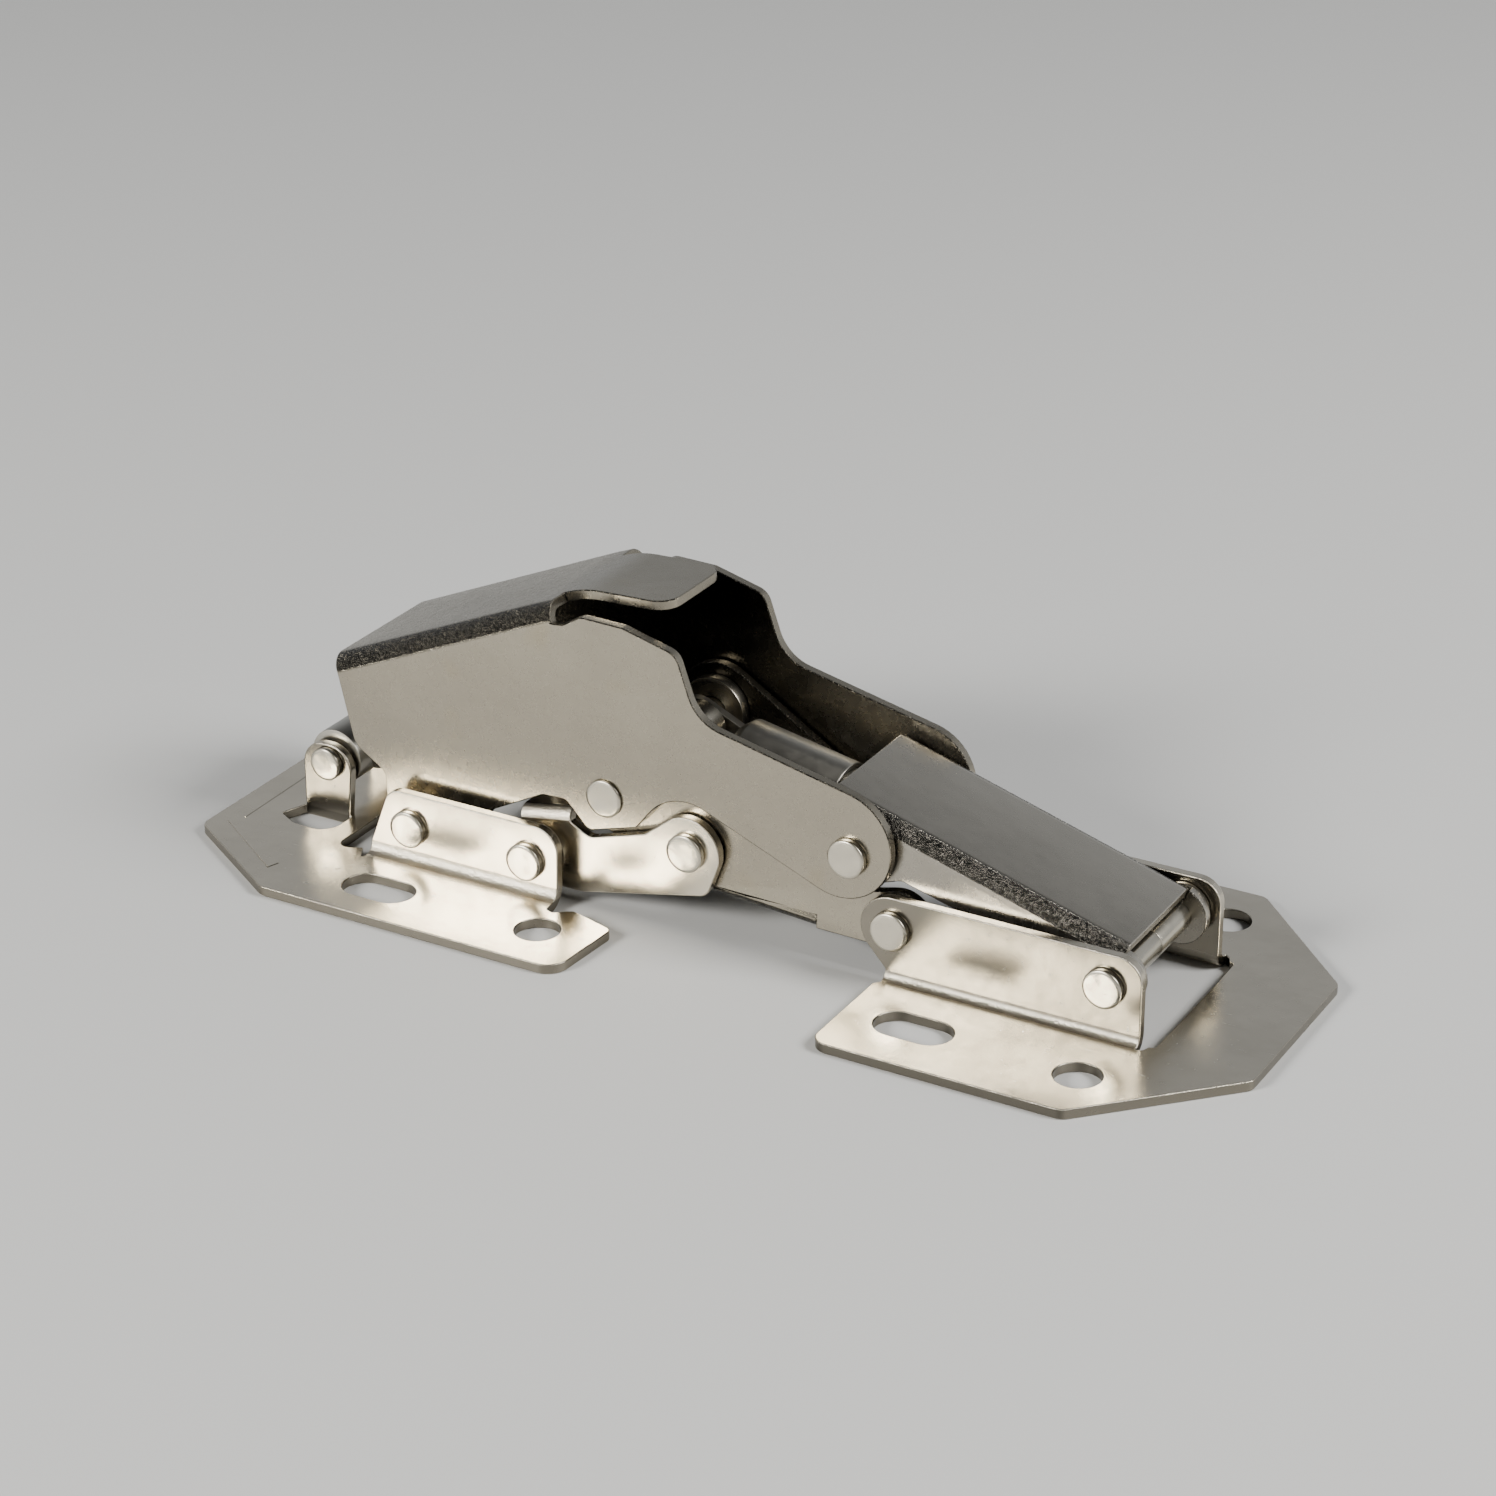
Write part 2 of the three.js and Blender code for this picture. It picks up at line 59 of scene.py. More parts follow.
# Pivots in the XZ plane, hinge lying open.
DAMPER_PIVOT = (-45.3, 6.4)
ARM_PIVOT = (-32.3, 4.5)
LINK_PIVOT = (-19.0, 4.3)
CROSS_PIVOT = (-11.5, 11.7)
ELBOW_PIVOT = (-2.6, 8.3)
TOP_PIVOT = (14.4, 12.0)
PLATE_PIVOT = (19.1, 6.0)
END_PIVOT = (40.25, 5.9)
CENTRE_PIN = (-7.8, 16.0)
SPRING_PIN = (22.0, 10.2)

# Outer half-widths of the nested layers, from the outside in.
LEFT_EAR_Y = 10.9
RIGHT_EAR_Y = 9.1
ARM_Y = 8.6
INNER_Y = 7.35
DAMPER_EAR_Y = 6.0
LUG_Y = 4.6

SHAFT_R = 1.5
SPRING_SHAFT_R = 0.8
SHAFT_FIT = 0.05
HEAD_R = 1.9
DAMPER_HEAD_R = 1.7
HEAD_H = 0.75
LOW_HEAD_H = 0.38  # the cross rivets are set nearly flush
WASHER_R = 2.7
CENTRE_SPACER_R = 3.4
WASHER_GAP = 0.1
PIN_PROUD = 0.08  # how far a plain pin stands out of the sheet that holds it


# ---- outlines ----
def outline(circles):
    """Points around circles (x, z, r) taken counter-clockwise; r < 0 is a concave fillet, 0 a corner."""
    count = len(circles)
    normals = []
    for i, (ax, az, ar) in enumerate(circles):
        bx, bz, br = circles[(i + 1) % count]
        length = math.hypot(bx - ax, bz - az)
        lean = max(-1.0, min(1.0, (ar - br) / length))
        normals.append(math.atan2(bz - az, bx - ax) - math.acos(lean))
    points = []
    for i, (x, z, r) in enumerate(circles):
        if r == 0:
            points.append((x, z))
            continue
        start = normals[i - 1]
        sweep = (normals[i] - start) % (2 * math.pi)
        if r < 0 and sweep > 0:
            sweep -= 2 * math.pi
        if abs(sweep) > 1.95 * math.pi:  # a straight join, turned full circle by rounding
            sweep = 0
        steps = max(1, math.ceil(abs(sweep) / ARC_STEP))
        for k in range(steps + 1):
            angle = start + sweep * k / steps
            points.append((x + r * math.cos(angle), z + r * math.sin(angle)))
    closest = 0.02
    clean = []
    for p in points:
        if not clean or math.dist(p, clean[-1]) > closest:
            clean.append(p)
    if math.dist(clean[0], clean[-1]) <= closest:
        clean.pop()
    return clean


def circle(cx, cz, r, segments=40):
    turn = 2 * math.pi / segments
    return [(cx + r * math.cos(turn * k), cz + r * math.sin(turn * k)) for k in range(segments)]


def screw_openings(screws, side):
    """The round hole and the slot in one leg of a plate."""
    x, y = screws["slot"]
    half = SLOT_LENGTH / 2 - SCREW_R
    slot = outline([(x - half, y, SCREW_R), (x + half, y, SCREW_R)])
    hole = circle(*screws["hole"], SCREW_R)
    return [[(u, side * v) for u, v in loop] for loop in (hole, slot)]


def rounded_line(points, radius):
    """An open line of points with its inner corners rounded."""
    steps = 6
    made = [points[0]]
    for before, here, after in zip(points, points[1:], points[2:]):
        a, b, c = Vector(before), Vector(here), Vector(after)
        into, out = (b - a).normalized(), (c - b).normalized()
        reach = min(radius, (b - a).length * 0.45, (c - b).length * 0.45)
        start, end = b - into * reach, b + out * reach
        for k in range(steps + 1):
            t = k / steps
            p = start.lerp(b, t).lerp(b.lerp(end, t), t)
            made.append((p.x, p.y))
    made.append(points[-1])
    return made


def inside(x, y, loop):
    """Even-odd test of a point against a closed loop."""
    hit = False
    for (ax, ay), (bx, by) in zip(loop, loop[1:] + loop[:1]):
        if (ay > y) != (by > y) and x < ax + (bx - ax) * (y - ay) / (by - ay):
            hit = not hit
    return hit


# ---- meshes ----
def data_of(bm, name):
    data = bpy.data.meshes.new(name)
    bm.to_mesh(data)
    bm.free()
    return data


def smooth_data_of(bm, name):
    """A mesh with its faces turned outwards and shaded smooth."""
    bmesh.ops.recalc_face_normals(bm, faces=bm.faces)
    for f in bm.faces:
        f.smooth = True
    return data_of(bm, name)


# ---- sheet-metal skins ----
class Skin:
    """Faces of one side of a pressed part, welded by position."""

    def __init__(self):
        self.verts = []
        self.faces = []
        self.known = {}

    def point(self, p):
        key = tuple(round(c, 4) for c in p)
        if key not in self.known:
            self.known[key] = len(self.verts)
            self.verts.append(p)
        return self.known[key]

    def face(self, points):
        ids = [self.point(p) for p in points]
        ids = [a for i, a in enumerate(ids) if a != ids[i - 1]]
        if len(ids) > 2:
            self.faces.append(ids)

    def fill(self, loops, place):
        """Fills the area between an outer loop and its holes; place turns (u, v) into a 3D point."""
        flat, edges = [], []
        for loop in loops:
            base = len(flat)
            flat += [Vector(p) for p in loop]
            edges += [(base + i, base + (i + 1) % len(loop)) for i in range(len(loop))]
        verts, _, faces, *_ = delaunay_2d_cdt(flat, edges, [], 0, 1e-6)
        for f in faces:
            x = sum(verts[i].x for i in f) / len(f)
            y = sum(verts[i].y for i in f) / len(f)
            if inside(x, y, loops[0]) and not any(inside(x, y, hole) for hole in loops[1:]):
                self.face([place(verts[i].x, verts[i].y) for i in f])

    def mesh(self, name, facing):
        """facing gives the direction that the skin should face at a point."""
        bm = bmesh.new()
        made = [bm.verts.new(Vector(v) * MM) for v in self.verts]
        for ids in self.faces:
            try:
                bm.faces.new([made[i] for i in ids])
            except ValueError:  # the same face twice
                pass
        bmesh.ops.recalc_face_normals(bm, faces=bm.faces)
        lean = sum(f.normal.dot(facing(f.calc_center_median() / MM)) * f.calc_area() for f in bm.faces)
        if lean < 0:
            bmesh.ops.reverse_faces(bm, faces=bm.faces)
        flat = math.radians(0.4)
        bmesh.ops.dissolve_limit(bm, angle_limit=flat, verts=[], edges=bm.edges, delimit={"NORMAL"})
        for f in bm.faces:
            f.smooth = True
        return data_of(bm, name)


def add_object(name, data, material, body, nodes):
    obj = bpy.data.objects.new(name, data)
    bpy.context.scene.collection.objects.link(obj)
    obj.data.materials.append(material)
    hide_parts(*nodes)
    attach(obj, body)
    return obj


def edge_bevel(obj, width):
    edge = obj.modifiers.new("edges", "BEVEL")
    edge.width = width * MM
    edge.segments = 3
    edge.limit_method = "ANGLE"
    edge.angle_limit = SHARP_ANGLE
    edge.harden_normals = True
    return edge


def thicken(obj):
    """Gives a skin the thickness of the sheet, inwards, and rounds its sheared edges."""
    solid = obj.modifiers.new("thickness", "SOLIDIFY")
    solid.thickness = SHEET * MM
    solid.offset = -1
    solid.use_even_offset = True
    edge = edge_bevel(obj, EDGE_BEVEL)
    edge.use_clamp_overlap = False
    edge.miter_outer = "MITER_ARC"


def bend_strip(skin, ends, side, half, bend, steps):
    """The rounded bend between web and wall, between two ends given as (web point, web normal)."""
    for k in range(steps):
        quad = []
        for m, s in ((0, k), (1, k), (1, k + 1), (0, k + 1)):
            phi = math.pi / 2 * s / steps
            y = (half - bend) + bend * math.cos(phi)
            point, normal = ends[m]
            centre = Vector(point) - normal * bend
            p = centre + normal * bend * math.sin(phi)
            quad.append((p.x, side * y, p.y))
        skin.face(quad)


def channel_skin(line, wall, half, bend, lift, columns, tongue=None):
    """A folded channel: a web along line (outer XZ points), bends, and two walls of outline wall(top_line).

    lift is +1 for a web on top and -1 for one underneath; columns are half-widths that the web is split at.
    tongue is (x, half_width): right of x the web is free of the walls and half_width(x) wide to each side.
    """
    skin = Skin()
    count = len(line)
    normals = []
    for i in range(count):
        a = Vector(line[max(i - 1, 0)])
        b = Vector(line[min(i + 1, count - 1)])
        d = (b - a).normalized()
        normals.append(Vector((-d.y, d.x)) * lift)
    folded = [i for i in range(count) if tongue is None or line[i][0] <= tongue[0] + 1e-6]
    for side in (-1, 1):
        for i, j in zip(folded, folded[1:]):
            ends = [(line[i], normals[i]), (line[j], normals[j])]
            bend_strip(skin, ends, side, half, bend, BEND_STEPS)
        top = [tuple(Vector(line[i]) - normals[i] * bend) for i in folded]
        skin.fill([wall(top)], lambda u, v: (u, side * half, v))
    edge = half - bend
    for i in range(count - 1):
        if i + 1 in folded:
            lows = highs = sorted({-edge, edge, *columns, *[-c for c in columns]})
        else:
            width = tongue[1]
            lows, highs = [[-width(x), 0.0, width(x)] for x in (line[i][0], line[i + 1][0])]
        for (a0, a1), (b0, b1) in zip(zip(lows, lows[1:]), zip(highs, highs[1:])):
            (x0, z0), (x1, z1) = line[i], line[i + 1]
            skin.face([(x0, a0, z0), (x1, b0, z1), (x1, b1, z1), (x0, a1, z0)])
    return skin


def outwards(centre, lift):
    """Direction test for a channel: walls face sideways, the web faces up or down."""

    def test(p):
        if abs(p.y) > centre:
            return Vector((0, math.copysign(1, p.y), 0))
        return Vector((0, 0, lift))

    return test


# ---- slabs ----
def slab_mesh(name, pieces):
    """One mesh of solids, each given as (outline in XZ, y0, y1)."""
    bm = bmesh.new()
    for points, y0, y1 in pieces:
        low = [bm.verts.new(Vector((x, y0, z)) * MM) for x, z in points]
        high = [bm.verts.new(Vector((x, y1, z)) * MM) for x, z in points]
        bm.faces.new(low)
        bm.faces.new(list(reversed(high)))
        for i in range(len(points)):
            j = (i + 1) % len(points)
            bm.faces.new([low[j], low[i], high[i], high[j]])
    return smooth_data_of(bm, name)


def joined(name, datas):
    bm = bmesh.new()
    for data in datas:
        bm.from_mesh(data)
    return data_of(bm, name)


def ring_slab(name, outer, hole, y0, y1):
    """A slab with one hole, from two outlines in XZ with the same number of points."""
    bm = bmesh.new()

    def loop(points, y):
        return [bm.verts.new(Vector((x, y, z)) * MM) for x, z in points]

    outer_low, outer_high = loop(outer, y0), loop(outer, y1)
    hole_low, hole_high = loop(hole, y0), loop(hole, y1)
    sides = [(outer_low, outer_high), (hole_high, hole_low)]
    ends = [(outer_high, hole_high), (hole_low, outer_low)]
    for a, b in sides + ends:
        for i in range(len(a)):
            j = (i + 1) % len(a)
            bm.faces.new([a[i], a[j], b[j], b[i]])
    return smooth_data_of(bm, name)


# ---- turned pieces ----
def lathe(profile, segments):
    """Closed surface from (radius, along) points about the local Z axis; returns verts and faces."""
    verts, faces, rings = [], [], []
    for r, h in profile:
        if r < 1e-6:
            rings.append([len(verts)])
            verts.append((0.0, 0.0, h))
        else:
            rings.append(list(range(len(verts), len(verts) + segments)))
            for k in range(segments):
                a = 2 * math.pi * k / segments
                verts.append((r * math.cos(a), r * math.sin(a), h))
    for low, high in zip(rings, rings[1:]):
        for k in range(segments):
            n = (k + 1) % segments
            quad = [low[k % len(low)], low[n % len(low)], high[n % len(high)], high[k % len(high)]]
            seen = []
            for q in quad:
                if q not in seen:
                    seen.append(q)
            if len(seen) > 2:
                faces.append(seen)
    return verts, faces


def softened(profile, radius=0.12, steps=3, closed=False):
    """Rounds the corners of a turned profile."""
    count = len(profile)
    made = []
    for i, here in enumerate(profile):
        if not closed and i in (0, count - 1):
            made.append(here)
            continue
        a, b, c = Vector(profile[i - 1]), Vector(here), Vector(profile[(i + 1) % count])
        into, out = b - a, c - b
        if into.length < 1e-5 or out.length < 1e-5:
            made.append(here)
            continue
        reach = min(radius, into.length * 0.4, out.length * 0.4)
        start, end = b - into.normalized() * reach, b + out.normalized() * reach
        for k in range(steps + 1):
            t = k / steps
            p = start.lerp(b, t).lerp(b.lerp(end, t), t)
            made.append((max(p.x, 0.0), p.y))
    if closed:
        made.append(made[0])
    return made


def turned_mesh(name, parts):
    """parts is a list of (profile, placement matrix in millimetres, segments)."""
    bm = bmesh.new()
    for profile, place, segments in parts:
        verts, faces = lathe(profile, segments)
        made = [bm.verts.new((place @ Vector(v)) * MM) for v in verts]
        for ids in faces:
            try:
                bm.faces.new([made[i] for i in ids])
            except ValueError:  # the same face twice
                pass
    bmesh.ops.remove_doubles(bm, verts=bm.verts, dist=1e-7)
    data = smooth_data_of(bm, name)
    data.set_sharp_from_angle(angle=TURNED_SHARP)
    return data


def across(pivot, side):
    """Placement whose local Z runs along Y, outwards on that side, from the pivot's middle."""
    z = Vector((0, side, 0))
    x = Vector((1, 0, 0))
    y = z.cross(x)
    rot = Matrix((x, y, z)).transposed().to_4x4()
    return Matrix.Translation((pivot[0], 0, pivot[1])) @ rot


def aimed(start, end):
    """Placement whose local Z runs from start to end in the XZ plane."""
    z = Vector((end[0] - start[0], 0, end[1] - start[1])).normalized()
    y = Vector((0, 1, 0))
    x = y.cross(z)
    rot = Matrix((x, y, z)).transposed().to_4x4()
    return Matrix.Translation((start[0], 0, start[1])) @ rot


def point_along(start, end, distance):
    length = math.dist(start, end)
    return tuple(a + (b - a) * distance / length for a, b in zip(start, end))


# ---- materials ----
def build_material(
    name,
    colour,
    rough,
    wave=0.12,
    grain=0.010,
    peel=0.09,
    tint=0.05,
    stain=0.0,
    fold_painted_shade=0.0,
    fold_rough=0.10,
    side_painted_shade=0.0,
    hood_painted_shade=0.0,
    rim_painted_shade=0.0,
):
    """Plated sheet steel: slow waviness, fine grain, stretch marks where the sheet bends, light scratches.

    The painted shade shares darken the colour of bends (with lighter noise patches as painted glints),
    upright faces, the inside of the hood and the sheared rims of a plate; this is painted shade, not a mark
    on the plating.
    """
    mat = bpy.data.materials.new(name)
    mat.use_nodes = True
    nt = mat.node_tree
    nodes, links = nt.nodes, nt.links
    bsdf = nodes["Principled BSDF"]
    bsdf.inputs["Metallic"].default_value = 1.0

    def node(kind, **values):
        made = nodes.new(kind)
        for key, value in values.items():
            setattr(made, key, value)
        return made

    def noise_of(vector, scale, detail=2.0, roughness=0.5):
        made = node("ShaderNodeTexNoise")
        made.inputs["Scale"].default_value = scale
        made.inputs["Detail"].default_value = detail
        made.inputs["Roughness"].default_value = roughness
        links.new(vector, made.inputs["Vector"])
        return made.outputs["Fac"]

    def math_of(op, a, b=None, clamp=False):
        made = node("ShaderNodeMath", operation=op, use_clamp=clamp)
        for i, value in enumerate((a, b)):
            if value is None:
                continue
            if isinstance(value, (int, float)):
                made.inputs[i].default_value = value
            else:
                links.new(value, made.inputs[i])
        return made.outputs[0]

    def remap(value, low, high, to_low=0.0, to_high=1.0):
        made = node("ShaderNodeMapRange")
        made.clamp = True
        for key, v in (("From Min", low), ("From Max", high), ("To Min", to_low), ("To Max", to_high)):
            made.inputs[key].default_value = v
        links.new(value, made.inputs["Value"])
        return made.outputs["Result"]

    coord = node("ShaderNodeTexCoord").outputs["Object"]
    scaled = node("ShaderNodeVectorMath", operation="SCALE")
    links.new(coord, scaled.inputs[0])
    scaled.inputs["Scale"].default_value = 1000.0
    place = scaled.outputs[0]

    normal = node("ShaderNodeNewGeometry").outputs["Normal"]
    parts = node("ShaderNodeSeparateXYZ")
    links.new(normal, parts.inputs[0])
    side2 = math_of("MULTIPLY", parts.outputs["Y"], parts.outputs["Y"])
    up2 = math_of("MULTIPLY", parts.outputs["Z"], parts.outputs["Z"])
    fold = math_of("MULTIPLY", remap(side2, 0.02, 0.10), remap(up2, 0.004, 0.04))

    cloud = noise_of(place, 0.09, 3.0, 0.55)
    mottle = noise_of(place, 0.9, 4.0, 0.6)
    fine = noise_of(place, 7.0, 2.0, 0.6)
    peel_noise = noise_of(place, 3.4, 3.0, 0.7)

    stretch = node("ShaderNodeMapping")
    stretch.inputs["Scale"].default_value = (0.35, 9.0, 6.0)
    stretch.inputs["Rotation"].default_value = (0.2, 0.35, 0.1)
    links.new(place, stretch.inputs["Vector"])
    streak = noise_of(stretch.outputs[0], 1.1, 3.0, 0.65)
    scratch = remap(streak, 0.69, 0.73)

    ramp = node("ShaderNodeMix", data_type="RGBA")
    ramp.inputs["A"].default_value = (*[c * (1 - tint) for c in colour], 1)
    ramp.inputs["B"].default_value = (*[min(1, c * (1 + tint)) for c in colour], 1)
    links.new(remap(cloud, 0.3, 0.7), ramp.inputs["Factor"])
    shade = ramp.outputs["Result"]
    if stain:
        spot = node("ShaderNodeMix", data_type="RGBA")
        spot.inputs["B"].default_value = (colour[0] * 0.98, colour[1] * 0.93, colour[2] * 0.78, 1)
        links.new(shade, spot.inputs["A"])
        links.new(remap(noise_of(place, 0.16, 2.0, 0.5), 0.62, 0.75, 0.0, stain), spot.inputs["Factor"])
        shade = spot.outputs["Result"]

    # Mixes the colour towards a dark tone of it where share is high: painted shade.
    def with_painted_shade(under, share, strength, dark=0.15):
        mix = node("ShaderNodeMix", data_type="RGBA")
        mix.inputs["B"].default_value = (*[c * dark for c in colour], 1)
        links.new(under, mix.inputs["A"])
        links.new(math_of("MULTIPLY", share, strength), mix.inputs["Factor"])
        return mix.outputs["Result"]

    where = node("ShaderNodeSeparateXYZ")
    links.new(place, where.inputs[0])
    # Painted shade and painted dark reflection along the bends; the noise patches that stay lighter are
    # painted glints.
    if fold_painted_shade:
        painted_glint_patches = remap(noise_of(place, 2.6, 3.0, 0.7), 0.35, 0.62, 0.7, 1.0)
        shade = with_painted_shade(shade, math_of("MULTIPLY", fold, painted_glint_patches), fold_painted_shade, 0.04)
    # Painted shade on faces turned sideways, such as ears and walls.
    if side_painted_shade:
        shade = with_painted_shade(shade, remap(side2, 0.6, 0.9), side_painted_shade)
    # Painted shade on the inner faces under the hood.
    if hood_painted_shade:
        faces_in = remap(math_of("MULTIPLY", where.outputs["Y"], parts.outputs["Y"]), -3.0, -5.0)
        faces_down = remap(parts.outputs["Z"], -0.1, -0.5)
        inner_face = math_of("MAXIMUM", faces_in, faces_down)
        under_hood = remap(where.outputs["X"], 3.0, -6.0)
        shade = with_painted_shade(shade, math_of("MULTIPLY", inner_face, under_hood), hood_painted_shade, 0.05)
    # Painted shade on the upright rims of the plate and of its holes, low by the floor.
    if rim_painted_shade:
        upright = remap(math_of("ABSOLUTE", parts.outputs["Z"]), 0.8, 0.4)
        near_floor = remap(where.outputs["Z"], 1.15, 0.95)
        shade = with_painted_shade(shade, math_of("MULTIPLY", upright, near_floor), rim_painted_shade)
    links.new(shade, bsdf.inputs["Base Color"])

    rough_base = remap(mottle, 0.25, 0.75, rough * 0.86, rough * 1.14)
    rough_fold = math_of("MULTIPLY", fold, fold_rough)
    rough_scratch = math_of("MULTIPLY", scratch, 0.05)
    links.new(
        math_of("ADD", math_of("ADD", rough_base, rough_fold), rough_scratch, clamp=True),
        bsdf.inputs["Roughness"],
    )

    height = math_of("MULTIPLY", cloud, wave)
    height = math_of("ADD", height, math_of("MULTIPLY", mottle, wave * 0.035))
    height = math_of("ADD", height, math_of("MULTIPLY", fine, grain * 0.1))
    height = math_of("ADD", height, math_of("MULTIPLY", math_of("MULTIPLY", peel_noise, fold), peel))
    height = math_of("SUBTRACT", height, math_of("MULTIPLY", scratch, 0.002))
    bump = node("ShaderNodeBump")
    bump.inputs["Strength"].default_value = 1.0
    bump.inputs["Distance"].default_value = MM
    links.new(height, bump.inputs["Height"])
    links.new(bump.outputs[0], bsdf.inputs["Normal"])
    return mat


# These nickel materials stand for one plating; their base tones are set darker for the arms and lighter for
# the top link and plates to suit how each part is lit, as lit and shaded copies: painted light and shade.
NICKEL = build_material(
    "nickel plate",
    (0.315, 0.286, 0.228),
    0.27,
    peel=0.34,
    stain=0.35,
    fold_painted_shade=1.0,
    fold_rough=-0.10,
    hood_painted_shade=0.9,
)
NICKEL_TOP = build_material(
    "nickel plate upper",
    (0.50, 0.466, 0.40),
    0.28,
    peel=0.34,
    fold_painted_shade=1.0,
    fold_rough=-0.10,
    side_painted_shade=0.45,
)
PLATE_NICKEL = build_material("nickel plate base", (0.64, 0.582, 0.47), 0.25, wave=0.16, rim_painted_shade=0.75)
PLATE_NICKEL_SHADED = build_material(
    "nickel plate base, painted shade on upright faces", (0.60, 0.55, 0.45), 0.25, wave=0.16, side_painted_shade=0.75, rim_painted_shade=0.75
)
BRIGHT = build_material("bright steel", (0.56, 0.52, 0.43), 0.24, wave=0.05, peel=0.0)
TUBE = build_material("satin tube", (0.44, 0.42, 0.37), 0.33, wave=0.03, peel=0.0)
SPRING = build_material("spring wire", (0.42, 0.41, 0.39), 0.3, wave=0.0, peel=0.0)


# ---- plates ----
def plate_skin(outer, holes, ears):
    """Top skin of a plate with ears turned up from it. ears: (outline above the bend, y, x0, x1, radius)."""
    skin = Skin()
    skin.fill([outer, *holes], lambda u, v: (u, v, SHEET))
    steps = 8
    for points, y, x0, x1, radius in ears:
        for side in (-1, 1):
            for k in range(steps):
                quad = []
                for x, s in ((x0, k), (x1, k), (x1, k + 1), (x0, k + 1)):
                    phi = math.pi / 2 * s / steps
                    yy = y + radius - radius * math.sin(phi)
                    zz = SHEET + radius - radius * math.cos(phi)
                    quad.append((x, side * yy, zz))
                skin.face(quad)
            skin.fill([points], lambda u, v: (u, side * y, v))
    return skin


def mirrored_outline(half_points):
    """Closed outline from its upper half, listed counter-clockwise from the right end to the left end."""
    return half_points + [(x, -y) for x, y in reversed(half_points)]


def left_plate():
    bend = 1.2
    foot = LEFT_EAR_Y + bend
    x0, x1 = -36.9, -15.6
    relief = 1.1
    upper = outline(
        [
            (-40.6, 3.0, 0),
            (-39.6, foot - 1.5, -1.0),
            (x0 - relief, foot - 1.2, 0),
            (x0 - 0.15, foot + 0.5, 0),
            (x0, foot, 0),
            (x1, foot, 0),
            (x1 + 0.1, foot + 0.9, 0),
            (x1 + 1.0, foot + 1.2, 0),
            (x1 + 1.9, foot + 0.35, 0),
            (-13.0, foot - 0.05, 0),
            (-8.8, 14.1, 0.8),
            (-10.6, HALF_WIDTH - 2.2, 2.2),
            (-41.4, HALF_WIDTH - 1.6, 1.6),
            (-HALF_LENGTH + 1.5, 13.5, 1.5),
            (-HALF_LENGTH, 3.0, 0),
        ]
    )
    outer = mirrored_outline(upper)
    holes = []
    for side in (-1, 1):
        holes += screw_openings(LEFT_SCREWS, side)
        window = outline(
            [
                (-42.9, 5.95, 0),
                (-44.9, 7.9, 2.0),
                (-46.6, 7.6, 2.2),
                (-48.9, 8.4, 0.4),
                (-48.4, 5.95, 0),
            ]
        )
        holes.append([(x, side * y) for x, y in window])
    ear = outline(
        [
            (x0, SHEET + bend, 0),
            (x1, SHEET + bend, 0),
            (-17.9, 5.7, 2.4),
            (-33.4, 6.3, 1.8),
        ]
    )
    return plate_skin(outer, holes, [(ear, LEFT_EAR_Y, x0, x1, bend)])


def small_ears():
    """The two flaps that carry the damper, turned up out of the almond-shaped windows."""
    x, z = DAMPER_PIVOT
    flap = outline([(-48.4, 0.1, 0), (-43.2, 0.1, 0), (x + 0.1, z - 0.6, 2.55), (x - 0.5, z - 0.6, 2.55)])
    inner = DAMPER_EAR_Y - SHEET
    return slab_mesh("small_ears", [(flap, inner, DAMPER_EAR_Y), (flap, -DAMPER_EAR_Y, -inner)])


def die_marks():
    """Faint raised lines left by the press tool on the tip of the left plate."""
    half_width, height, root = 0.14, 0.05, 0.02
    low, top = SHEET - root, SHEET + height
    bm = bmesh.new()
    for line in (
        [(-52.0, -11.2), (-52.2, -0.9)],
        [(-53.1, -12.6), (-43.6, -18.9), (-43.2, -17.7)],
    ):
        for (ax, ay), (bx, by) in zip(line, line[1:]):
            length = math.dist((ax, ay), (bx, by))
            nx, ny = (ay - by) / length * half_width, (bx - ax) / length * half_width
            rows = []
            for x, y in ((ax, ay), (bx, by)):
                points = ((x + nx, y + ny, low), (x, y, top), (x - nx, y - ny, low))
                rows.append([bm.verts.new(Vector(point) * MM) for point in points])
            for k in range(3):
                m = (k + 1) % 3
                bm.faces.new([rows[0][k], rows[0][m], rows[1][m], rows[1][k]])
            bm.faces.new(rows[0])
            bm.faces.new(list(reversed(rows[1])))
    bmesh.ops.recalc_face_normals(bm, faces=bm.faces)
    return data_of(bm, "die_marks")


def right_plate():
    bend = 0.9
    foot = RIGHT_EAR_Y + bend
    x0, x1 = 18.5, 43.8
    upper = outline(
        [
            (HALF_LENGTH, 3.0, 0),
            (HALF_LENGTH - 1.2, 9.4, 1.2),
            (42.0, HALF_WIDTH - 1.4, 1.4),
            (19.6, HALF_WIDTH - 1.6, 1.6),
            (18.0, foot + 0.6, 0.0),
            (x0, foot, 0),
            (x1, foot, 0),
            (x1 + 0.55, foot - 0.4, 0),
            (x1 + 0.8, foot - 1.05, 0),
            (45.15, foot - 1.3, 0),
            (45.2, 3.0, 0),
        ]
    )
    outer = mirrored_outline(upper)
    holes = []
    for side in (-1, 1):
        holes += screw_openings(RIGHT_SCREWS, side)
    ear = outline(
        [
            (x0, SHEET + bend, 0),
            (x1, SHEET + bend, 0),
            (x1 - 2.4, 6.8, 2.4),
            (*PLATE_PIVOT, 3.2),
        ]
    )
    return plate_skin(outer, holes, [(ear, RIGHT_EAR_Y, x0, x1, bend)])


def plate_facing(p):
    """Direction test for a plate: ears face sideways, the rest faces up."""
    above_bends = SHEET + 1.3
    if p.z > above_bends:
        return Vector((0, math.copysign(1, p.y), 0))
    return Vector((0, 0, 1))


